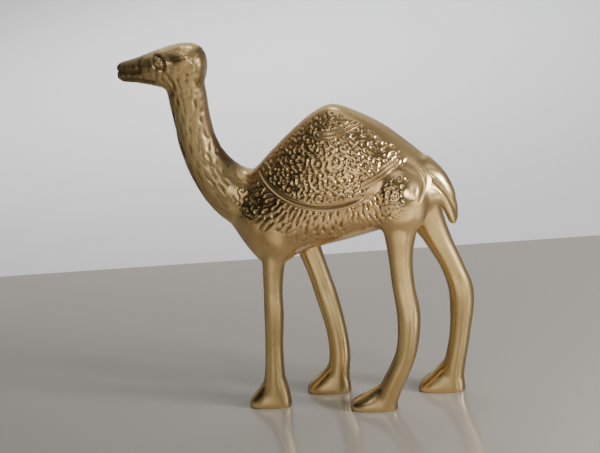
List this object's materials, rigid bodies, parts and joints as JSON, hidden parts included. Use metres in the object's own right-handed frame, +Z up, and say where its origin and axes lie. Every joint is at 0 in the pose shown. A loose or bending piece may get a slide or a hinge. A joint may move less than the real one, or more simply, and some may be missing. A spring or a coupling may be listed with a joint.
{
  "type": "camel figurine",
  "caption": "Small solid cast brass figurine of a standing one-humped camel, with a chased saddle cloth over the hump and smooth slender legs.",
  "frame": {"origin": "middle of the figure's bounding box on the plane of its four soles", "axes": "-Y forward, the way the camel faces; +X towards its left side; +Z up"},
  "size_m": [0.0172, 0.0678, 0.08],
  "materials": {
    "brass": "cast brass, worn smooth and bright, dark in its hollows",
    "chased_brass": "cast brass with chased ornament, brown patina in the cuts and bright on the ridges"
  },
  "bodies": {
    "root": {"head": "brass", "eye_left": "brass", "eye_right": "brass", "ear_left": "brass", "ear_right": "brass", "neck": "brass", "hump": "chased_brass", "trunk": "brass", "tail": "brass", "leg_front_left": "brass", "leg_front_right": "brass", "leg_hind_left": "brass", "leg_hind_right": "brass"}
  },
  "joints": []
}
